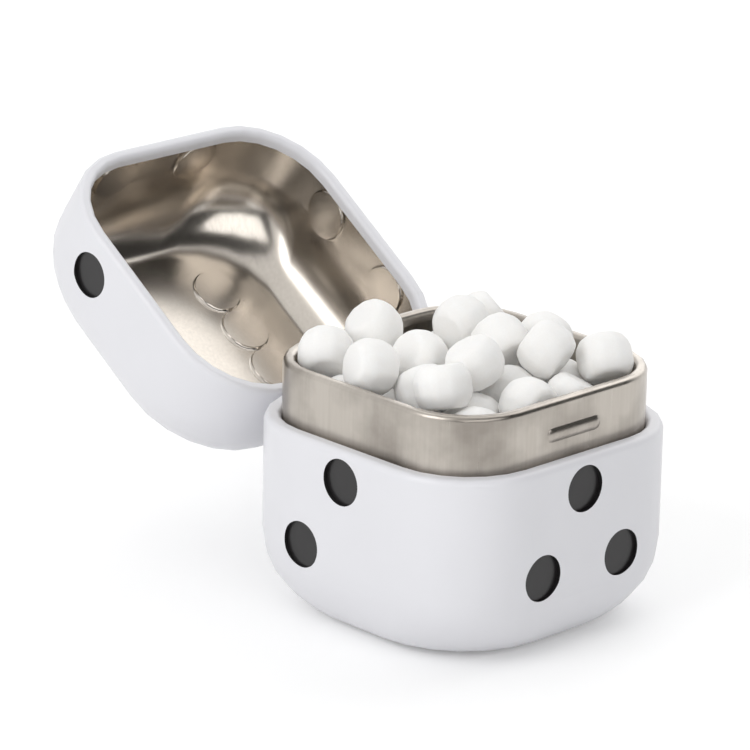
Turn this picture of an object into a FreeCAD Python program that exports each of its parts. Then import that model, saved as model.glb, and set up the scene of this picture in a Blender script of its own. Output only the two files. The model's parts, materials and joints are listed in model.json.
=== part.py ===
"""Hinged mint tin in the shape of a die, standing open with its heap of mints.

Millimetres. Z is up and the origin is the middle of the flat foot. The tin opens at
the front (-Y) and is hinged at the back (+Y). The lid is built closed and then swung
back about its hinge pin until its rolled edge meets the rolled edge of the base.
"""

import FreeCAD, Part
import math
import os
import random

# Outside of the closed tin
SIDE = 38.0
BASE_HEIGHT = 22.9
LID_HEIGHT = 16.1
SPLIT_GAP = 0.25
PLAN_RADIUS = 10.7
CORNER_STEPS = 6

# Rounding between the walls and the flat foot or top
EDGE_INSET = 6.3
EDGE_RISE = 9.0
PANEL_ROUNDNESS = 0.97
ROUNDING_STEPS = 6

# Tinplate, its rolled edges and the bare collar inside the base
SHEET = 0.4
BASE_RIM_RADIUS = 1.0
COLLAR_RIM_RADIUS = 0.7
ROLL_STEPS = 5
COLLAR_SEAT = 0.05
COLLAR_STAND = 6.5
COLLAR_TUCK = 11.0
LID_CLEARANCE = 0.5

# Bead pressed into the front of the collar to hold the lid shut
BEAD_LENGTH = 8.5
BEAD_WIDTH = 1.8
BEAD_PROUD = 0.3
BEAD_RISE = 2.6

# Pips, sunk into the sheet and filled with enamel
PIP_DEPTH = 0.6
PIP_FLOOR = 0.2
PIP_ENAMEL = 0.1
PIP_FIT = 0.02
PIP_LOW = 10.1
PIP_UNDER_RIM = 3.8
PIP_OVER_RIM = 5.1
PIP_MARGIN = 1.2
PIP_GAP = 0.82254
BOSS_SLOPE = 0.4
BOSS_SIDES = 24

# Hinge: two base knuckles, one lid knuckle and a wire pin
PIN_RADIUS = 0.4
PIN_FIT = 0.03
KNUCKLE_RADIUS = 0.95
HINGE_LENGTH = 14.0
LID_KNUCKLE = 5.0
KNUCKLE_GAP = 0.12
HINGE_INSET = 0.235
HINGE_NOTCH = 1.75
STOP_GAP = 0.08

# Mints: round pressed tablets with broad bevels, dropped in at random
MINT_RADIUS = 3.15
MINT_FACE = 2.4
MINT_THICKNESS = 4.6
MINT_EDGE = 2.0
MINT_NEST = 0.25
MINT_GAP = 0.02
RIM_GAP = 0.1
FLOOR_GAP = 0.6
HEAP_RISE = 6.2
HEAP_DOME = 3.0
SHOWN_MINTS = 30
SHOWN_SIDES = 10
HIDDEN_SIDES = 5
HIDDEN_LAYERS = 3
ROLL_WAYS = 7
DROP_TRIES = 60
TILT_TRIES = 400
DROP_SEED = 8

# Sizes that follow from those above
HALF = SIDE / 2
LID_FOOT = BASE_HEIGHT + SPLIT_GAP
TIN_HEIGHT = LID_FOOT + LID_HEIGHT
PANEL_HALF = HALF - EDGE_INSET
PANEL_RADIUS = PANEL_ROUNDNESS * PANEL_HALF
PIP_RADIUS = (PANEL_HALF - PIP_MARGIN - PIP_GAP * math.sqrt(2)) / (1 + 2 * math.sqrt(2))
PIP_COLUMN = 2 * PIP_RADIUS + PIP_GAP
COLLAR_HALF = HALF - 2 * BASE_RIM_RADIUS - COLLAR_SEAT
COLLAR_RADIUS = PLAN_RADIUS - (HALF - COLLAR_HALF)
COLLAR_TOP = BASE_HEIGHT + COLLAR_STAND
LID_RIM_RADIUS = (HALF - COLLAR_HALF - LID_CLEARANCE) / 2
HINGE_Y = HALF - HINGE_INSET
HINGE_Z = BASE_HEIGHT + SPLIT_GAP / 2
MINT_REACH = MINT_GAP + max(
    math.hypot(MINT_RADIUS, MINT_EDGE / 2), math.hypot(MINT_FACE, MINT_THICKNESS / 2)
)
MINT_PITCH = 2 * MINT_REACH - MINT_NEST

X_AXIS = FreeCAD.Vector(1, 0, 0)
Y_AXIS = FreeCAD.Vector(0, 1, 0)
Z_AXIS = FreeCAD.Vector(0, 0, 1)
HINGE_POINT = FreeCAD.Vector(0, HINGE_Y, HINGE_Z)


def vector(x, y, z):
    return FreeCAD.Vector(x, y, z)


def open_angle():
    """Degrees from closed to where the two rolled edges meet behind the hinge pin."""
    base_back, base_down = BASE_RIM_RADIUS - HINGE_INSET, BASE_RIM_RADIUS + SPLIT_GAP / 2
    lid_back, lid_up = LID_RIM_RADIUS - HINGE_INSET, LID_RIM_RADIUS + SPLIT_GAP / 2
    base_arm = math.hypot(base_back, base_down)
    lid_arm = math.hypot(lid_back, lid_up)
    reach = BASE_RIM_RADIUS + LID_RIM_RADIUS + STOP_GAP
    meeting = math.acos((base_arm**2 + lid_arm**2 - reach**2) / (2 * base_arm * lid_arm))
    closed = math.atan2(base_down, base_back) + math.atan2(lid_up, lid_back)
    return 360 - math.degrees(closed + meeting)


def flat_face(corners):
    return Part.Face(Part.makePolygon(corners + corners[:1]))


def ring_bands(rings):
    """Flat faces between each ring of points and the next."""
    faces = []
    for low, high in zip(rings, rings[1:]):
        for side in range(len(low)):
            faces.append(flat_face([low[side - 1], low[side], high[side], high[side - 1]]))
    return faces


def solid_of(faces):
    return Part.makeSolid(Part.makeShell(faces))


def plan_ring(half, radius, height):
    """Points of a rounded square at a height, each corner stepped into short flats."""
    points = []
    for corner in range(4):
        spin = FreeCAD.Rotation(Z_AXIS, 90 * corner)
        for step in range(CORNER_STEPS + 1):
            turn = math.pi / 2 * step / CORNER_STEPS
            x, y = (half - radius + radius * way for way in (math.cos(turn), math.sin(turn)))
            points.append(spin.multVec(vector(x, y, height)))
    return points


def swept_round(profile, half, radius):
    """Carry a closed profile of (inset, height) points round the rounded square plan."""
    rings = [plan_ring(half - inset, radius - inset, height) for inset, height in profile]
    return solid_of(ring_bands(rings + rings[:1]))


def rounding(inset, low, high):
    """Rings of the bend from a nearly round flat panel at the low level up to the wall."""
    half, radius = HALF - inset, PLAN_RADIUS - inset
    rings = []
    for step in range(ROUNDING_STEPS + 1):
        turn = math.pi / 2 * step / ROUNDING_STEPS
        inward = 1 - math.sin(turn)
        level = high - (high - low) * math.cos(turn)
        ring_half = half + (PANEL_HALF - half) * inward
        ring_radius = radius + (PANEL_RADIUS - radius) * inward
        rings.append(plan_ring(ring_half, ring_radius, level))
    return rings


def rolled_edge(top, roll):
    """Points of an edge rolled inwards into a bead, from the outer face over the top."""
    turns = [math.pi * step / ROLL_STEPS for step in range(ROLL_STEPS + 1)]
    bead = [(roll - roll * math.cos(turn), top - roll + roll * math.sin(turn)) for turn in turns]
    return bead + [(2 * roll, top - 2 * roll), (SHEET, top - 2 * roll)]


def sheet_cup(height, roll):
    """Drawn cup of thin sheet, open at the top, with its edge rolled inwards."""
    outside = rounding(0, 0, EDGE_RISE)
    inside = rounding(SHEET, SHEET, EDGE_RISE)
    edge = [
        plan_ring(HALF - inset, PLAN_RADIUS - inset, level)
        for inset, level in rolled_edge(height, roll)
    ]
    rings = outside + edge + inside[::-1]
    return solid_of([flat_face(rings[0]), flat_face(rings[-1])] + ring_bands(rings))


def along_hinge(radius, start, end):
    """Round bar on the hinge axis between two places across the tin."""
    return Part.makeCylinder(radius, end - start, vector(start, HINGE_Y, HINGE_Z), X_AXIS)


def knuckle_spans():
    """Places across the tin of the base's knuckles and of the lid's."""
    inner = LID_KNUCKLE / 2 + KNUCKLE_GAP
    outer = HINGE_LENGTH / 2
    return [(-outer, -inner), (inner, outer)], [(-LID_KNUCKLE / 2, LID_KNUCKLE / 2)]


def hinge_notch(span, upwards):
    """Room left in one rim for the other rim's knuckle to turn in."""
    start, end = span[0] - KNUCKLE_GAP, span[1] + KNUCKLE_GAP
    back = COLLAR_HALF + COLLAR_SEAT / 2
    low = HINGE_Z - HINGE_NOTCH if upwards else LID_FOOT - SPLIT_GAP
    return Part.makeBox(
        end - start, HALF + KNUCKLE_RADIUS - back, HINGE_NOTCH + SPLIT_GAP, vector(start, back, low)
    )


def add_knuckles(shell, own, other, upwards):
    """Roll the knuckles of one rim round the pin and clear the other rim's."""
    for span in other:
        shell = shell.cut(hinge_notch(span, upwards))
    for start, end in own:
        shell = shell.fuse(along_hinge(KNUCKLE_RADIUS, start, end))
    return shell.cut(along_hinge(PIN_RADIUS + PIN_FIT, -HALF, HALF))


def pip_spots():
    """Every pip as its name, its place on the wall or top, and its face's direction."""
    low, middle, high = PIP_LOW, BASE_HEIGHT - PIP_UNDER_RIM, LID_FOOT + PIP_OVER_RIM
    side = PIP_COLUMN
    faces = {
        "front": (0, [(0, middle), (-side, low), (side, low), (-side, high), (side, high)]),
        "right": (90, [(-side, low), (side, low), (-side, high), (side, high)]),
        "back": (180, [(side, low), (-side, high)]),
        "left": (270, [(0, middle), (-side, low), (side, high)]),
    }
    spots = []
    for face, (turn, places) in faces.items():
        spin = FreeCAD.Rotation(Z_AXIS, turn)
        outward = spin.multVec(-Y_AXIS)
        for number, (across, height) in enumerate(places, 1):
            owner = "lid" if height > LID_FOOT else "base"
            place = spin.multVec(vector(across, -HALF, height))
            spots.append((f"{owner}_pip_{face}_{number}", place, outward))
    top = [(x, y) for x in (-side, side) for y in (-side, 0, side)]
    for number, (x, y) in enumerate(top, 1):
        spots.append((f"lid_pip_top_{number}", vector(x, y, TIN_HEIGHT), Z_AXIS))
    return spots


def pip_boss(place, outward):
    """Disc that a sunk pip raises on the inside, its side sloping out to the sheet."""
    lay = FreeCAD.Rotation(Z_AXIS, outward)
    tip = PIP_RADIUS + PIP_FLOOR
    turns = [2 * math.pi * side / BOSS_SIDES for side in range(BOSS_SIDES)]
    rings = []
    for radius, depth in ((tip, PIP_DEPTH + PIP_FLOOR), (tip + BOSS_SLOPE, SHEET / 2)):
        around = [vector(radius * math.cos(turn), radius * math.sin(turn), -depth) for turn in turns]
        rings.append([place + lay.multVec(point) for point in around])
    return solid_of([flat_face(rings[0]), flat_face(rings[-1])] + ring_bands(rings))


def press_pips(shell, spots):
    """Sink each pip into the sheet, so that it stands out as a disc on the inside."""
    for _, place, outward in spots:
        shell = shell.fuse(pip_boss(place, outward))
    for _, place, outward in spots:
        floor = place - outward * PIP_DEPTH
        shell = shell.cut(Part.makeCylinder(PIP_RADIUS, 2 * PIP_DEPTH, floor, outward))
    return shell


def enamel_fill(place, outward):
    """Black enamel lying on the floor of one pip."""
    floor = place - outward * PIP_DEPTH
    return Part.makeCylinder(PIP_RADIUS - PIP_FIT, PIP_ENAMEL, floor, outward)


def base_shell(spots):
    own, other = knuckle_spans()
    shell = add_knuckles(sheet_cup(BASE_HEIGHT, BASE_RIM_RADIUS), own, other, True)
    return press_pips(shell, spots)


def lid_shell(spots):
    other, own = knuckle_spans()
    shell = sheet_cup(LID_HEIGHT, LID_RIM_RADIUS)
    shell.rotate(vector(0, 0, 0), X_AXIS, 180)
    shell.translate(Z_AXIS * TIN_HEIGHT)
    return press_pips(add_knuckles(shell, own, other, False), spots)


def latch_bead():
    """Long low bead on the front of the collar, round in section and at its ends."""
    radius = ((BEAD_WIDTH / 2) ** 2 + BEAD_PROUD**2) / (2 * BEAD_PROUD)
    depth = COLLAR_HALF + BEAD_PROUD - radius
    height = BASE_HEIGHT + BEAD_RISE
    reach = (BEAD_LENGTH - BEAD_WIDTH) / 2
    bead = Part.makeCylinder(radius, 2 * reach, vector(-reach, -depth, height), X_AXIS)
    for end in (-reach, reach):
        bead = bead.fuse(Part.makeSphere(radius, vector(end, -depth, height)))
    face = Part.makeBox(
        SIDE, BEAD_PROUD + SHEET, SIDE, vector(-HALF, -COLLAR_HALF - BEAD_PROUD, height - HALF)
    )
    return bead.common(face)


def collar():
    """Bare sleeve held inside the base's rolled edge, which the lid closes over."""
    foot = BASE_HEIGHT - COLLAR_TUCK
    profile = [(0, foot)] + rolled_edge(COLLAR_TOP, COLLAR_RIM_RADIUS) + [(SHEET, foot)]
    return swept_round(profile, COLLAR_HALF, COLLAR_RADIUS).fuse(latch_bead())


def hinge_pin():
    return along_hinge(PIN_RADIUS, -HINGE_LENGTH / 2, HINGE_LENGTH / 2)


def mint(sides):
    """Tablet about its own middle: a round side between two broad bevels."""
    levels = (
        (MINT_FACE, -MINT_THICKNESS / 2),
        (MINT_RADIUS, -MINT_EDGE / 2),
        (MINT_RADIUS, MINT_EDGE / 2),
        (MINT_FACE, MINT_THICKNESS / 2),
    )
    turns = [2 * math.pi * side / sides for side in range(sides)]
    rings = [
        [vector(radius * math.cos(turn), radius * math.sin(turn), height) for turn in turns]
        for radius, height in levels
    ]
    return solid_of([flat_face(rings[0]), flat_face(rings[-1])] + ring_bands(rings))


def rest_height(x, y, settled):
    """Height at which a dropped mint first meets the floor or another mint."""
    height = SHEET + FLOOR_GAP + MINT_REACH
    for other in settled:
        apart = (x - other.x) ** 2 + (y - other.y) ** 2
        if apart < MINT_PITCH**2:
            height = max(height, other.z + math.sqrt(MINT_PITCH**2 - apart))
    return height


def in_room(x, y):
    """Whether a mint with its middle here passes inside the collar's rolled edge."""
    inset = 2 * COLLAR_RIM_RADIUS + RIM_GAP + MINT_REACH
    room, corner = COLLAR_HALF - inset, COLLAR_RADIUS - inset
    past_x, past_y = abs(x) - (room - corner), abs(y) - (room - corner)
    if past_x > 0 and past_y > 0:
        return math.hypot(past_x, past_y) < corner
    return max(past_x, past_y) < corner


def heap_level(middle):
    """Height of a mint above the domed top of the heap; negative inside it."""
    dome = HEAP_DOME * (middle.x**2 + middle.y**2) / COLLAR_HALF**2
    return middle.z - (COLLAR_TOP + HEAP_RISE - MINT_REACH - dome)


def settle(x, y, settled):
    """Let a mint roll downhill from where it lands, by ever smaller steps."""
    z = rest_height(x, y, settled)
    step = MINT_RADIUS / 2
    while step > MINT_GAP:
        turns = [2 * math.pi * way / ROLL_WAYS for way in range(ROLL_WAYS)]
        moves = [(x + step * math.cos(turn), y + step * math.sin(turn)) for turn in turns]
        drops = [(rest_height(*move, settled), *move) for move in moves if in_room(*move)]
        lowest = min(drops, default=(z, x, y))
        if lowest[0] < z - MINT_GAP / 10:
            z, x, y = lowest
        else:
            step /= 2
    return vector(x, y, z)


def dropped_mints(chance):
    """Middles of the mints: dropped in one by one until the heap is full, lowest first."""
    settled = []
    misses = 0
    while misses < DROP_TRIES:
        x, y = chance.uniform(-COLLAR_HALF, COLLAR_HALF), chance.uniform(-COLLAR_HALF, COLLAR_HALF)
        if not in_room(x, y):
            continue
        middle = settle(x, y, settled)
        if heap_level(middle) < 0:
            settled.append(middle)
            misses = 0
        else:
            misses += 1
    return sorted(settled, key=heap_level)


def mint_support(axis, direction):
    """How far a mint with this axis reaches from its middle in a direction."""
    along = abs(axis.dot(direction))
    across = math.sqrt(max(0, 1 - along**2))
    side = MINT_RADIUS * across + MINT_EDGE / 2 * along
    return max(side, MINT_FACE * across + MINT_THICKNESS / 2 * along)


def mint_clearance(middle, axis, other_middle, other_axis):
    """Gap between two mints across the best of a few likely dividing planes."""
    between = other_middle - middle
    straight = between / between.Length
    near, far = (tilt * math.copysign(1, tilt.dot(between)) for tilt in (axis, other_axis))
    directions = [straight, near, far, straight + near, straight + far, straight * 2 + near + far]
    clearance = -between.Length
    for direction in directions:
        unit = direction / direction.Length
        reach = mint_support(axis, unit) + mint_support(other_axis, unit)
        clearance = max(clearance, between.dot(unit) - reach)
    return clearance


def random_axis(chance):
    axis = vector(chance.gauss(0, 1), chance.gauss(0, 1), chance.gauss(0, 1))
    return axis / axis.Length


def tilted_mints(middles, chance):
    """Turn each mint any way that keeps it clear of its neighbours."""
    tilted = []
    for middle in middles:
        near = [mint for mint in tilted if (mint[0] - middle).Length < 2 * MINT_REACH]
        roomiest = None
        for _ in range(TILT_TRIES):
            axis = random_axis(chance)
            clearance = min((mint_clearance(middle, axis, *mint) for mint in near), default=MINT_GAP)
            if roomiest is None or clearance > roomiest[0]:
                roomiest = (clearance, axis)
            if clearance >= MINT_GAP:
                break
        tilted.append((middle, roomiest[1]))
    return tilted


def placed_mint(sides, middle, axis):
    tablet = mint(sides)
    tablet.Placement = FreeCAD.Placement(middle, FreeCAD.Rotation(Z_AXIS, axis))
    return tablet


def mints():
    """Shown mints one by one, and those under them in layers."""
    chance = random.Random(DROP_SEED)
    tilted = tilted_mints(dropped_mints(chance), chance)
    hidden, shown = tilted[:-SHOWN_MINTS], tilted[-SHOWN_MINTS:]
    size = math.ceil(len(hidden) / HIDDEN_LAYERS)
    nodes = {}
    for layer in range(HIDDEN_LAYERS):
        group = hidden[layer * size : (layer + 1) * size]
        tablets = [placed_mint(HIDDEN_SIDES, *tablet) for tablet in group]
        nodes[f"mints_layer_{layer + 1}"] = Part.makeCompound(tablets)
    for number, tablet in enumerate(shown, 1):
        nodes[f"mint_{number:02d}"] = placed_mint(SHOWN_SIDES, *tablet)
    return nodes


def tin():
    """All pieces by name, with the lid swung open on its pin."""
    spots = pip_spots()
    base_spots = [spot for spot in spots if spot[0].startswith("base")]
    lid_spots = [spot for spot in spots if spot[0].startswith("lid")]
    nodes = {"base_shell": base_shell(base_spots), "collar": collar(), "hinge_pin": hinge_pin()}
    swung = {"lid_shell": lid_shell(lid_spots)}
    for name, place, outward in base_spots:
        nodes[name] = enamel_fill(place, outward)
    for name, place, outward in lid_spots:
        swung[name] = enamel_fill(place, outward)
    for shape in swung.values():
        shape.rotate(HINGE_POINT, X_AXIS, -open_angle())
    return {**nodes, **swung, **mints()}


os.makedirs("parts", exist_ok=True)
print("lid opens", round(open_angle(), 3), "degrees about", tuple(HINGE_POINT))
for node, solid in tin().items():
    solid.exportStep(f"parts/{node}.step")
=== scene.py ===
"""Looks of an open mint tin in the shape of a die: enamel, tinplate and pressed mints."""

import json
import math

import bpy
import numpy
from mathutils import Matrix, Quaternion, Vector


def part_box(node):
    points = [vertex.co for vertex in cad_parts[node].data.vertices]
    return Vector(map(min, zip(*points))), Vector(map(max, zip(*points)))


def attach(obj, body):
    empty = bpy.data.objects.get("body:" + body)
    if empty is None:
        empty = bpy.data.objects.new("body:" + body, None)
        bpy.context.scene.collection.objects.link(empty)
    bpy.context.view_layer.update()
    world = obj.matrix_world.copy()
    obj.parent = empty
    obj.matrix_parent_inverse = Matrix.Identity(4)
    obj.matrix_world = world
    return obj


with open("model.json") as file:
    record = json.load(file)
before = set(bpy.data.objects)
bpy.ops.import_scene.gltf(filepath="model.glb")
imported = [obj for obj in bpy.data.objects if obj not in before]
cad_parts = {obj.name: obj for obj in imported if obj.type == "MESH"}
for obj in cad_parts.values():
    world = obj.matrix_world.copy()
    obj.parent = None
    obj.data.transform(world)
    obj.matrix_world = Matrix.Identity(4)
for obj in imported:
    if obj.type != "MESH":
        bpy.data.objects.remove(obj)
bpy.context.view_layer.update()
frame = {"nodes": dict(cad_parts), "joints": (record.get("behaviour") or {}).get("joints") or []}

bl_info = {
    "name": "Mint tin looks",
    "version": (1, 0, 0),
    "blender": (4, 5, 0),
    "location": "3D View > Sidebar > Mint tin",
    "description": "Finishes, light and camera for a die-shaped tin full of mints",
    "category": "Object",
}

MM = 0.001
HINGE = frame["joints"][0]
NODES = frame["nodes"]

# Smoothing: what counts as one point, as flat, as a true edge, and as the crease round a pressed disc
JOIN_DISTANCE = 0.0005 * MM
FLAT_ANGLE = math.radians(1)
EDGE_ANGLE = math.radians(62)
DENT_ANGLE = math.radians(40)

# Height of the painted rolled edge of each shell from the hinge, and of a point well inside the shell
ROLLED_EDGE = {"base": 2.2 * MM, "lid": 1.8 * MM}
INSIDE_HEIGHT = {"base": -8 * MM, "lid": 6 * MM}

# Reach of a pip's wall and of the disc it raises inside, from the middle of its enamel, and the wall's lean
WALL_FIT = 0.06 * MM
WALL_LEAN = 0.3
PIP_HEIGHT = 1.0 * MM
BOSS_REACH = 0.9 * MM
BOSS_HEIGHT = 0.28 * MM

# Rolled rim and corner of the collar
COLLAR_RIM = 1.4 * MM
COLLAR_CORNER = 8.65 * MM

# How far a mint reaches from its middle, how much it swells, and the steps of its rounded edge
MINT_REACH = 3.2 * MM
MINT_SWELL = 0.15 * MM
MINT_EDGE_STEPS = 4

# Search for hollows in the heap: distance between the places tried, turns of the mints, and most mints added
HEAP_STEP = 1.0 * MM
TURN_SEED = 7
MOST_TOP_MINTS = 12

# Spacing of the faint patterns, how many times longer than wide a streak is, and how far its gloss varies
ENAMEL_PATCHES = 14 * MM
PIP_PATCHES = 1.5 * MM
DRAWN_WAVES = 7 * MM
SMUDGE_PATCHES = 8 * MM
STREAK_LENGTH = 30
ROUGHNESS_SPREAD = 0.2

# Second tones that the patterns bring in
ENAMEL_SHADE = "#E0E0E4"
PIP_SHADE = "#1F1D1E"
BRIGHT_SHADE = "#C4BDB4"
SATIN_SHADE = "#B6AFA6"
SMUDGE_SHADE = "#7A736C"
MINT_SHADE = "#F5F3F0"

# The picture's side and the pixel of it that the camera faces
PICTURE_SIDE = 750
PICTURE_AXIS = (374.42, 392.55)

# The camera's sensor, in millimetres, and the point that it aims at
SENSOR_WIDTH = 36
AIM_HEIGHT = 20 * MM
AIM_LEFT = 10.06 * MM
AIM_UP = 4.85 * MM

# Soft boxes in metres and watts: place, width, height and power
LAMP_TARGET = (0, 10 * MM, 20 * MM)
LAMPS = {
    "lamp_front": ((-0.22, -0.61, 0.32), 0.85, 0.4, 2.05),
    "lamp_left": ((-0.59, 0.05, 0.41), 0.38, 0.38, 1.25),
    "lamp_right": ((0.50, 0.19, 0.48), 0.8, 0.8, 1.7),
}

# Reach of the floor, and the width, height and distance of the dark card
FLOOR_REACH = 3.0
CARD_WIDTH = 3.0
CARD_HEIGHT = 1.2
CARD_DISTANCE = 0.75


def linear(colour):
    """Linear red, green and blue of an sRGB hex colour."""
    parts = [int(colour[at : at + 2], 16) / 255 for at in (1, 3, 5)]
    return tuple(part / 12.92 if part < 0.04045 else ((part + 0.055) / 1.055) ** 2.4 for part in parts)


class TinFinishes(bpy.types.PropertyGroup):
    """Colours and grain of the tin's own surfaces."""

    enamel: bpy.props.FloatVectorProperty(
        name="White enamel",
        description="Colour of the painted outside",
        subtype="COLOR",
        default=linear("#E6E6EA"),
    )
    pips: bpy.props.FloatVectorProperty(
        name="Pip enamel", description="Colour of the sunk pips", subtype="COLOR", default=linear("#191718")
    )
    tinplate: bpy.props.FloatVectorProperty(
        name="Tinplate", description="Colour of the bare metal", subtype="COLOR", default=linear("#D0C9C0")
    )
    collar: bpy.props.FloatVectorProperty(
        name="Collar",
        description="Colour of the collar's duller metal",
        subtype="COLOR",
        default=linear("#C4BEB6"),
    )
    mint: bpy.props.FloatVectorProperty(
        name="Mint", description="Colour of the pressed mints", subtype="COLOR", default=linear("#FBFAF8")
    )
    peel_spacing: bpy.props.FloatProperty(
        name="Enamel ripple",
        description="Distance between the soft ripples of the sprayed enamel",
        unit="LENGTH",
        default=1.2 * MM,
    )
    # Rolling streaks and sugar grains are finer in life, and are drawn as coarse as they need to show
    streak_spacing: bpy.props.FloatProperty(
        name="Rolling streaks",
        description="Distance between the rolling streaks of the tinplate",
        unit="LENGTH",
        default=0.35 * MM,
    )
    grain: bpy.props.FloatProperty(
        name="Sugar grain", description="Size of the grains on a mint", unit="LENGTH", default=0.22 * MM
    )
    heap_level: bpy.props.FloatProperty(
        name="Heap level",
        description="Height over the collar's rim up to which hollows of the heap are filled",
        unit="LENGTH",
        default=1.0 * MM,
    )
    mint_rounding: bpy.props.FloatProperty(
        name="Mint rounding", description="Rounding of a mint's edges", unit="LENGTH", default=0.45 * MM
    )


class TinStage(bpy.types.PropertyGroup):
    """Camera and light round the tin."""

    azimuth: bpy.props.FloatProperty(
        name="Azimuth",
        description="Way round the tin that the camera stands",
        unit="ROTATION",
        default=math.radians(-44.308),
    )
    elevation: bpy.props.FloatProperty(
        name="Elevation", description="Height of the camera", unit="ROTATION", default=math.radians(18.689)
    )
    roll: bpy.props.FloatProperty(
        name="Roll", description="Lean of the camera", unit="ROTATION", default=math.radians(1.155)
    )
    distance: bpy.props.FloatProperty(
        name="Distance", description="From the camera to the tin", unit="LENGTH", default=515.37 * MM
    )
    lens: bpy.props.FloatProperty(name="Lens", description="Focal length", unit="CAMERA", default=220.14)
    floor: bpy.props.FloatVectorProperty(
        name="Floor", description="Colour of the floor", subtype="COLOR", default=linear("#F6F6F6")
    )
    floor_glow: bpy.props.FloatProperty(
        name="Floor glow", description="Lift of the floor to white where it is seen", default=0.18
    )
    card: bpy.props.FloatVectorProperty(
        name="Front card",
        description="Colour of the card in front",
        subtype="COLOR",
        default=linear("#2B2B2B"),
    )
    sky: bpy.props.FloatProperty(
        name="Sky", description="Strength of the light from all round", default=0.73
    )


def finishes():
    return bpy.context.scene.tin_finishes


def add_node(tree, kind, inputs=None, **settings):
    """Add a node, set its properties, and fill its sockets from values or other sockets."""
    node = tree.nodes.new(kind)
    for name, value in settings.items():
        setattr(node, name, value)
    for name, value in (inputs or {}).items():
        if isinstance(value, bpy.types.NodeSocket):
            tree.links.new(value, node.inputs[name])
        else:
            node.inputs[name].default_value = value
    return node


def new_material(name):
    material = bpy.data.materials.new(name)
    material.use_nodes = True
    material.node_tree.nodes.clear()
    return material


def surface(tree, inputs):
    """End a material's tree in one principled shader."""
    shader = add_node(tree, "ShaderNodeBsdfPrincipled", inputs)
    add_node(tree, "ShaderNodeOutputMaterial", {"Surface": shader.outputs["BSDF"]})


def opaque(colour):
    return (*colour, 1.0)


def white_enamel():
    # Baked white enamel on tinplate: an even satin white with soft wide reflections and faint ripples
    look = finishes()
    material = new_material("white_baked_enamel")
    tree = material.node_tree
    place = add_node(tree, "ShaderNodeTexCoord").outputs["Object"]
    ripple = add_node(
        tree, "ShaderNodeTexNoise", {"Vector": place, "Scale": 1 / look.peel_spacing, "Detail": 1.0}
    )
    bump = add_node(
        tree,
        "ShaderNodeBump",
        {"Height": ripple.outputs["Fac"], "Strength": 0.12, "Distance": 0.02 * MM},
    )
    patch = add_node(
        tree, "ShaderNodeTexNoise", {"Vector": place, "Scale": 1 / ENAMEL_PATCHES, "Detail": 3.0}
    )
    tone = add_node(
        tree,
        "ShaderNodeMix",
        {"Factor": patch.outputs["Fac"], "A": opaque(look.enamel), "B": opaque(linear(ENAMEL_SHADE))},
        data_type="RGBA",
    )
    surface(
        tree,
        {
            "Base Color": tone.outputs["Result"],
            "Roughness": 0.38,
            "IOR": 1.5,
            "Coat Weight": 0.1,
            "Coat Roughness": 0.2,
            "Normal": bump.outputs["Normal"],
        },
    )
    return material


def charcoal_enamel():
    # Charcoal enamel run into a pressed pip: nearly black, with a clear gloss on its steep edge
    look = finishes()
    material = new_material("charcoal_enamel")
    tree = material.node_tree
    place = add_node(tree, "ShaderNodeTexCoord").outputs["Object"]
    patch = add_node(tree, "ShaderNodeTexNoise", {"Vector": place, "Scale": 1 / PIP_PATCHES, "Detail": 2.0})
    tone = add_node(
        tree,
        "ShaderNodeMix",
        {"Factor": patch.outputs["Fac"], "A": opaque(look.pips), "B": opaque(linear(PIP_SHADE))},
        data_type="RGBA",
    )
    surface(tree, {"Base Color": tone.outputs["Result"], "Roughness": 0.3, "IOR": 1.5})
    return material


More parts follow.
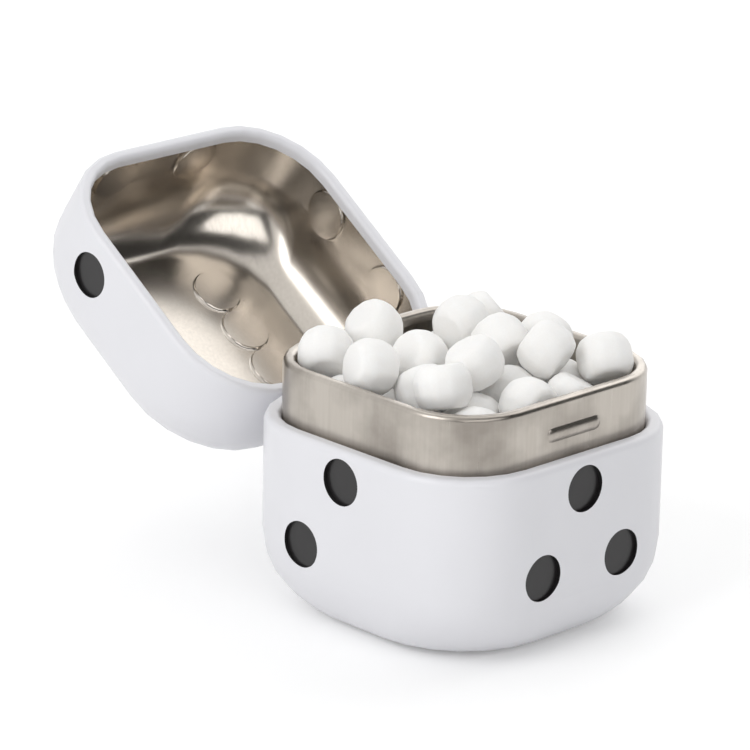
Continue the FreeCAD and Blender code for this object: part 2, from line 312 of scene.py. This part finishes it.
def tinplate(name, colour, shade, roughness, streaks, waviness, smudges):
    # Bare tinplate: warm grey metal, streaked along the way it was rolled, a little wavy where it was
    # drawn, and dulled in patches where it was handled
    spacing = finishes().streak_spacing
    material = new_material(name)
    tree = material.node_tree
    place = add_node(tree, "ShaderNodeTexCoord").outputs["Object"]
    across, along = 1 / spacing, 1 / (STREAK_LENGTH * spacing)
    stretched = add_node(
        tree, "ShaderNodeVectorMath", {0: place, 1: (across, across, along)}, operation="MULTIPLY"
    )
    streak = add_node(
        tree, "ShaderNodeTexNoise", {"Vector": stretched.outputs["Vector"], "Scale": 1.0, "Detail": 3.0}
    )
    wave = add_node(tree, "ShaderNodeTexNoise", {"Vector": place, "Scale": 1 / DRAWN_WAVES, "Detail": 1.0})
    tone = add_node(
        tree,
        "ShaderNodeMix",
        {"Factor": streak.outputs["Fac"], "A": opaque(colour), "B": opaque(shade)},
        data_type="RGBA",
    )
    cloud = add_node(
        tree, "ShaderNodeTexNoise", {"Vector": place, "Scale": 1 / SMUDGE_PATCHES, "Detail": 4.0}
    )
    smudge = add_node(
        tree,
        "ShaderNodeMapRange",
        {"Value": cloud.outputs["Fac"], "From Min": 0.4, "From Max": 0.7, "To Max": smudges},
    )
    handled = add_node(
        tree,
        "ShaderNodeMix",
        {
            "Factor": smudge.outputs["Result"],
            "A": tone.outputs["Result"],
            "B": opaque(linear(SMUDGE_SHADE)),
        },
        data_type="RGBA",
    )
    rough = add_node(
        tree,
        "ShaderNodeMapRange",
        {
            "Value": streak.outputs["Fac"],
            "To Min": roughness * (1 - ROUGHNESS_SPREAD),
            "To Max": roughness * (1 + ROUGHNESS_SPREAD),
        },
    )
    fine = add_node(
        tree,
        "ShaderNodeBump",
        {"Height": streak.outputs["Fac"], "Strength": streaks, "Distance": 0.01 * MM},
    )
    soft = add_node(
        tree,
        "ShaderNodeBump",
        {
            "Height": wave.outputs["Fac"],
            "Strength": waviness,
            "Distance": 0.2 * MM,
            "Normal": fine.outputs["Normal"],
        },
    )
    surface(
        tree,
        {
            "Base Color": handled.outputs["Result"],
            "Metallic": 1.0,
            "Roughness": rough.outputs["Result"],
            "Normal": soft.outputs["Normal"],
        },
    )
    return material


def pressed_mint():
    # Pressed sugar: chalky white that lets a little light in, with a fine grain and no gloss
    look = finishes()
    material = new_material("pressed_sugar")
    tree = material.node_tree
    place = add_node(tree, "ShaderNodeTexCoord").outputs["Object"]
    grain = add_node(tree, "ShaderNodeTexNoise", {"Vector": place, "Scale": 1 / look.grain, "Detail": 3.0})
    bump = add_node(
        tree, "ShaderNodeBump", {"Height": grain.outputs["Fac"], "Strength": 0.25, "Distance": 0.05 * MM}
    )
    tone = add_node(
        tree,
        "ShaderNodeMix",
        {"Factor": grain.outputs["Fac"], "A": opaque(look.mint), "B": opaque(linear(MINT_SHADE))},
        data_type="RGBA",
    )
    surface(
        tree,
        {
            "Base Color": tone.outputs["Result"],
            "Roughness": 0.85,
            "Subsurface Weight": 0.5,
            "Subsurface Radius": (1.0, 0.95, 0.9),
            "Subsurface Scale": 1.5 * MM,
            "Specular IOR Level": 0.2,
            "Normal": bump.outputs["Normal"],
        },
    )
    return material


def mesh_group(name, steps):
    """Node group that passes a mesh through the given steps, made once."""
    group = bpy.data.node_groups.get(name)
    if group is None:
        group = bpy.data.node_groups.new(name, "GeometryNodeTree")
        group.interface.new_socket("Geometry", in_out="INPUT", socket_type="NodeSocketGeometry")
        group.interface.new_socket("Geometry", in_out="OUTPUT", socket_type="NodeSocketGeometry")
        mesh = steps(group, add_node(group, "NodeGroupInput").outputs[0])
        add_node(group, "NodeGroupOutput", {0: mesh})
    return group


def join_faces(group, mesh):
    """Drop stored normals and join the faces of the sheet at their edges."""
    plain = add_node(group, "GeometryNodeRemoveAttribute", {"Geometry": mesh, "Name": "custom_normal"})
    joined = add_node(
        group, "GeometryNodeMergeByDistance", {"Geometry": plain.outputs[0], "Distance": JOIN_DISTANCE}
    )
    return joined.outputs[0]


def keep_edges(group, mesh):
    """Shade bends smooth and part the mesh at its true edges."""
    fold = add_node(group, "GeometryNodeInputMeshEdgeAngle").outputs
    corner, dent = (
        add_node(group, "FunctionNodeCompare", {"A": fold[angle], "B": least}, operation="GREATER_THAN")
        for angle, least in (("Unsigned Angle", EDGE_ANGLE), ("Signed Angle", DENT_ANGLE))
    )
    sharp = add_node(
        group,
        "FunctionNodeBooleanMath",
        {0: corner.outputs["Result"], 1: dent.outputs["Result"]},
        operation="OR",
    )
    split = add_node(group, "GeometryNodeSplitEdges", {"Mesh": mesh, "Selection": sharp.outputs["Boolean"]})
    return add_node(group, "GeometryNodeSetShadeSmooth", {"Geometry": split.outputs[0]}).outputs[0]


def whole_flats(node):
    """Join the triangles of each flat into one face."""
    flats = node.modifiers.new("whole_flats", "DECIMATE")
    flats.decimate_type = "DISSOLVE"
    flats.angle_limit = FLAT_ANGLE
    flats.delimit = {"MATERIAL"}


def even_shading(node):
    """Shade bends as one curve, up to the true edges."""
    node.modifiers.new("keep_edges", "NODES").node_group = mesh_group("keep_edges", keep_edges)
    even = node.modifiers.new("even_shading", "WEIGHTED_NORMAL")
    even.mode = "FACE_AREA"
    even.keep_sharp = True


def smooth_bends(node):
    """Shade the stepped bends of a piece of sheet metal."""
    node.modifiers.new("join_faces", "NODES").node_group = mesh_group("join_faces", join_faces)
    whole_flats(node)
    even_shading(node)


def set_materials(node, *materials):
    node.data.materials.clear()
    for material in materials:
        node.data.materials.append(material)


def closing_turn():
    """The turn about the hinge that takes the lid from open to shut."""
    pivot = Matrix.Translation(Vector(HINGE["pos_m"]))
    turn = Matrix.Rotation(math.radians(HINGE["range_deg"][1]), 4, Vector(HINGE["axis"]))
    return pivot @ turn @ pivot.inverted()


def pip_axes(owner):
    """Middle and outward direction of each pip of the base or the lid."""
    low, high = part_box(f"{owner}_shell")
    heart = (low + high) / 2
    axes = []
    for name, node in NODES.items():
        if name.startswith(f"{owner}_pip"):
            broadest = max(node.data.polygons, key=lambda face: face.area)
            low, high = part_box(name)
            middle = (low + high) / 2
            outward = broadest.normal.copy()
            if outward.dot(middle - heart) < 0:
                outward.negate()
            axes.append((middle, outward))
    return axes


def pip_part(face, axes, radius):
    """Whether a face of a shell is the wall round a sunk pip or the disc it raises inside, or neither."""
    for middle, outward in axes:
        away = face.center - middle
        height = away.dot(outward)
        across = (away - outward * height).length
        if across > radius + BOSS_REACH or abs(height) > PIP_HEIGHT:
            continue
        if abs(across - radius) < WALL_FIT and abs(face.normal.dot(outward)) < WALL_LEAN:
            return "wall"
        if height < BOSS_HEIGHT:
            return "disc"
    return None


class TIN_OT_fill_pips(bpy.types.Operator):
    """Give the sunk pips their charcoal enamel"""

    bl_idname = "tin.fill_pips"
    bl_label = "Fill pips"

    def execute(self, context):
        enamel = charcoal_enamel()
        for name, node in NODES.items():
            if "_pip_" in name:
                set_materials(node, enamel)
                smooth_bends(node)
        return {"FINISHED"}


class TIN_OT_paint_shells(bpy.types.Operator):
    """Paint the base and the lid white outside and leave them bare inside"""

    bl_idname = "tin.paint_shells"
    bl_label = "Paint shells"

    def execute(self, context):
        outside, wall = white_enamel(), bpy.data.materials["charcoal_enamel"]
        inside = tinplate(
            "bright_drawn_tinplate",
            finishes().tinplate,
            linear(BRIGHT_SHADE),
            roughness=0.2,
            streaks=0.08,
            waviness=0.2,
            smudges=0.12,
        )
        low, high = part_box("base_pip_front_1")
        radius = (high.z - low.z) / 2
        rim = HINGE["pos_m"][2]
        for owner, turn in (("base", Matrix.Identity(4)), ("lid", closing_turn())):
            shell = NODES[f"{owner}_shell"]
            set_materials(shell, outside, inside, wall)
            axes = pip_axes(owner)
            middle = Vector((0, 0, rim + INSIDE_HEIGHT[owner]))
            for face in shell.data.polygons:
                place = turn @ face.center
                normal = turn.to_3x3() @ face.normal
                part = pip_part(face, axes, radius)
                if part == "wall":
                    face.material_index = 2
                elif part == "disc":
                    face.material_index = 1
                elif abs(place.z - rim) < ROLLED_EDGE[owner] or normal.dot(place - middle) > 0:
                    face.material_index = 0
                else:
                    face.material_index = 1
            smooth_bends(shell)
        return {"FINISHED"}


class TIN_OT_finish_collar(bpy.types.Operator):
    """Leave the collar and the hinge pin as bare metal"""

    bl_idname = "tin.finish_collar"
    bl_label = "Finish collar and pin"

    def execute(self, context):
        satin = tinplate(
            "satin_rolled_tinplate",
            finishes().collar,
            linear(SATIN_SHADE),
            roughness=0.3,
            streaks=0.06,
            waviness=0.05,
            smudges=0.65,
        )
        for name in ("collar", "hinge_pin"):
            set_materials(NODES[name], satin)
            smooth_bends(NODES[name])
        return {"FINISHED"}


def round_mint(node, sugar):
    """Ease the edges of a mint, swell it a little and give it its chalky surface."""
    set_materials(node, sugar)
    joined = node.modifiers.new("joined", "WELD")
    joined.merge_threshold = JOIN_DISTANCE
    whole_flats(node)
    edges = node.modifiers.new("eased_edges", "BEVEL")
    edges.width = finishes().mint_rounding
    edges.segments = MINT_EDGE_STEPS
    edges.limit_method = "NONE"
    swollen = node.modifiers.new("swollen", "DISPLACE")
    swollen.strength = MINT_SWELL
    swollen.mid_level = 0.0
    even_shading(node)


def mint_nodes():
    return [node for name, node in NODES.items() if name.startswith("mint")]


class TIN_OT_round_mints(bpy.types.Operator):
    """Round the edges of the mints and give them their chalky surface"""

    bl_idname = "tin.round_mints"
    bl_label = "Round mints"

    def execute(self, context):
        sugar = pressed_mint()
        for node in mint_nodes():
            round_mint(node, sugar)
        return {"FINISHED"}


def heap_points():
    """Corners and face middles of all the mints."""
    rows = []
    for node in mint_nodes():
        rows += [vertex.co for vertex in node.data.vertices]
        rows += [face.center for face in node.data.polygons]
    return numpy.array(rows)


def heap_spots(reach):
    """Places, evenly apart, where the middle of a mint passes the collar's rolled rim."""
    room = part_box("collar")[1].x - COLLAR_RIM - reach
    corner = COLLAR_CORNER - COLLAR_RIM - reach
    ticks = numpy.arange(-room, room, HEAP_STEP)
    spots = numpy.array([(x, y) for x in ticks for y in ticks])
    past = numpy.clip(numpy.abs(spots) - (room - corner), 0, None)
    return spots[numpy.hypot(past[:, 0], past[:, 1]) < corner]


def resting_heights(spots, points, reach):
    """Height at which the middle of a ball comes to rest on the points, over each spot."""
    apart = ((spots[:, None, :] - points[None, :, :2]) ** 2).sum(axis=2)
    lift = numpy.sqrt(numpy.clip(reach**2 - apart, 0, None))
    return numpy.where(apart < reach**2, points[:, 2] + lift, -numpy.inf).max(axis=1)


class TIN_OT_top_up_mints(bpy.types.Operator):
    """Add the last mints, each in the lowest hollow that is left on the heap"""

    bl_idname = "tin.top_up_mints"
    bl_label = "Top up mints"

    def execute(self, context):
        pattern = NODES["mint_01"]
        low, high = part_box("mint_01")
        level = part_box("collar")[1].z + finishes().heap_level
        chance = numpy.random.default_rng(TURN_SEED)
        spots = heap_spots(MINT_REACH)
        heights = resting_heights(spots, heap_points(), MINT_REACH)
        number = 0
        while heights.min() < level:
            number += 1
            if number > MOST_TOP_MINTS:
                raise RuntimeError("the heap isn't full after as many mints as should fill it")
            lowest = heights.argmin()
            place = Vector((*spots[lowest], heights[lowest]))
            turn = Quaternion(chance.normal(size=4)).normalized().to_matrix().to_4x4()
            mesh = pattern.data.copy()
            mesh.transform(Matrix.Translation(place) @ turn @ Matrix.Translation(-(low + high) / 2))
            piece = bpy.data.objects.new(f"top_mint_{number}", mesh)
            context.scene.collection.objects.link(piece)
            round_mint(piece, bpy.data.materials["pressed_sugar"])
            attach(piece, "base")
            middle = numpy.array([place])
            heights = numpy.maximum(heights, resting_heights(spots, middle, 2 * MINT_REACH))
        return {"FINISHED"}


def camera_matrix(stage):
    """Place of the camera, from its way round the tin, its height and its lean."""
    flat, lift = math.cos(stage.elevation), math.sin(stage.elevation)
    back = Vector((math.sin(stage.azimuth) * flat, -math.cos(stage.azimuth) * flat, lift))
    level = Vector((0, 0, 1)).cross(back).normalized()
    upright = back.cross(level)
    target = Vector((0, 0, AIM_HEIGHT)) - level * AIM_LEFT + upright * AIM_UP
    right = level * math.cos(stage.roll) + upright * math.sin(stage.roll)
    up = upright * math.cos(stage.roll) - level * math.sin(stage.roll)
    turn = Matrix((right, up, back)).transposed().to_4x4()
    return Matrix.Translation(target + back * stage.distance) @ turn


def add_camera(stage):
    lens = bpy.data.cameras.new("camera")
    lens.lens = stage.lens
    lens.sensor_width = SENSOR_WIDTH
    lens.shift_x = 0.5 - PICTURE_AXIS[0] / PICTURE_SIDE
    lens.shift_y = PICTURE_AXIS[1] / PICTURE_SIDE - 0.5
    lens.clip_start, lens.clip_end = 10 * MM, 10
    camera = bpy.data.objects.new("camera", lens)
    camera.matrix_world = camera_matrix(stage)
    bpy.context.scene.collection.objects.link(camera)
    bpy.context.scene.camera = camera


def add_lamp(name, place, width, height, power):
    """Soft box that faces the tin."""
    light = bpy.data.lights.new(name, "AREA")
    light.shape = "RECTANGLE"
    light.size = width
    light.size_y = height
    light.energy = power
    lamp = bpy.data.objects.new(name, light)
    facing = (Vector(LAMP_TARGET) - Vector(place)).to_track_quat("-Z", "Y")
    lamp.matrix_world = Matrix.Translation(place) @ facing.to_matrix().to_4x4()
    bpy.context.scene.collection.objects.link(lamp)


def where_seen(tree, unseen, seen):
    """Strength that differs between rays that light the tin and rays that show the background."""
    path = add_node(tree, "ShaderNodeLightPath")
    direct = add_node(
        tree,
        "ShaderNodeMath",
        {0: path.outputs["Is Camera Ray"], 1: path.outputs["Is Transmission Ray"]},
        operation="MAXIMUM",
    )
    shown = add_node(
        tree,
        "ShaderNodeMath",
        {0: direct.outputs[0], 1: path.outputs["Is Glossy Ray"]},
        operation="MAXIMUM",
    )
    return add_node(
        tree, "ShaderNodeMapRange", {"Value": shown.outputs[0], "To Min": unseen, "To Max": seen}
    ).outputs["Result"]


def add_sky(stage):
    world = bpy.data.worlds.new("studio")
    world.use_nodes = True
    tree = world.node_tree
    tree.nodes.clear()
    sky = add_node(
        tree,
        "ShaderNodeBackground",
        {"Color": (1, 1, 1, 1), "Strength": where_seen(tree, stage.sky, 1.0)},
    )
    add_node(tree, "ShaderNodeOutputWorld", {"Surface": sky.outputs[0]})
    bpy.context.scene.world = world


def add_sheet(name, near, far, material):
    """Flat sheet as wide as its edges, from a near edge to a far one, each given as half width, y and z."""
    corners = [(-near[0], *near[1:]), near, far, (-far[0], *far[1:])]
    mesh = bpy.data.meshes.new(name)
    mesh.from_pydata(corners, [], [(0, 1, 2, 3)])
    mesh.materials.append(material)
    sheet = bpy.data.objects.new(name, mesh)
    bpy.context.scene.collection.objects.link(sheet)
    return sheet


def add_floor(stage):
    """Wide pale sheet that the tin stands on."""
    material = new_material("pale_paper")
    tree = material.node_tree
    surface(
        tree,
        {
            "Base Color": opaque(stage.floor),
            "Roughness": 0.9,
            "Specular IOR Level": 0.1,
            "Emission Color": (1, 1, 1, 1),
            "Emission Strength": where_seen(tree, 0.0, stage.floor_glow),
        },
    )
    floor = add_sheet("floor", (FLOOR_REACH, -FLOOR_REACH, 0), (FLOOR_REACH, FLOOR_REACH, 0), material)


def add_card(stage):
    """Dark card behind the camera that gives bright metal its dark reflections."""
    material = new_material("dark_felt")
    surface(material.node_tree, {"Base Color": opaque(stage.card), "Roughness": 1.0})
    bottom = (CARD_WIDTH / 2, -CARD_DISTANCE, 0)
    top = (CARD_WIDTH / 2, -CARD_DISTANCE, CARD_HEIGHT)
    card = add_sheet("front_card", bottom, top, material)
    card.visible_camera = False


class TIN_OT_set_stage(bpy.types.Operator):
    """Set the floor, the light and the camera"""

    bl_idname = "tin.set_stage"
    bl_label = "Set stage"

    def execute(self, context):
        stage = context.scene.tin_stage
        context.scene.view_settings.view_transform = "Standard"
        add_floor(stage)
        add_card(stage)
        add_sky(stage)
        for name, lamp in LAMPS.items():
            add_lamp(name, *lamp)
        add_camera(stage)
        return {"FINISHED"}


class TIN_PT_looks(bpy.types.Panel):
    """Steps that dress the tin, in order"""

    bl_idname = "TIN_PT_looks"
    bl_label = "Mint tin"
    bl_space_type = "VIEW_3D"
    bl_region_type = "UI"
    bl_category = "Mint tin"

    def draw(self, context):
        for group in (context.scene.tin_finishes, context.scene.tin_stage):
            for name in group.__annotations__:
                self.layout.prop(group, name)
        for step in STEPS:
            self.layout.operator(step.bl_idname)


STEPS = (
    TIN_OT_fill_pips,
    TIN_OT_paint_shells,
    TIN_OT_finish_collar,
    TIN_OT_round_mints,
    TIN_OT_top_up_mints,
    TIN_OT_set_stage,
)
CLASSES = (TinFinishes, TinStage, *STEPS, TIN_PT_looks)


def register():
    for each in CLASSES:
        bpy.utils.register_class(each)
    bpy.types.Scene.tin_finishes = bpy.props.PointerProperty(type=TinFinishes)
    bpy.types.Scene.tin_stage = bpy.props.PointerProperty(type=TinStage)


def unregister():
    del bpy.types.Scene.tin_stage
    del bpy.types.Scene.tin_finishes
    for each in reversed(CLASSES):
        bpy.utils.unregister_class(each)


def main():
    register()
    bpy.ops.tin.fill_pips()
    bpy.ops.tin.paint_shells()
    bpy.ops.tin.finish_collar()
    bpy.ops.tin.round_mints()
    bpy.ops.tin.top_up_mints()
    bpy.ops.tin.set_stage()


if __name__ == "__main__":
    main()
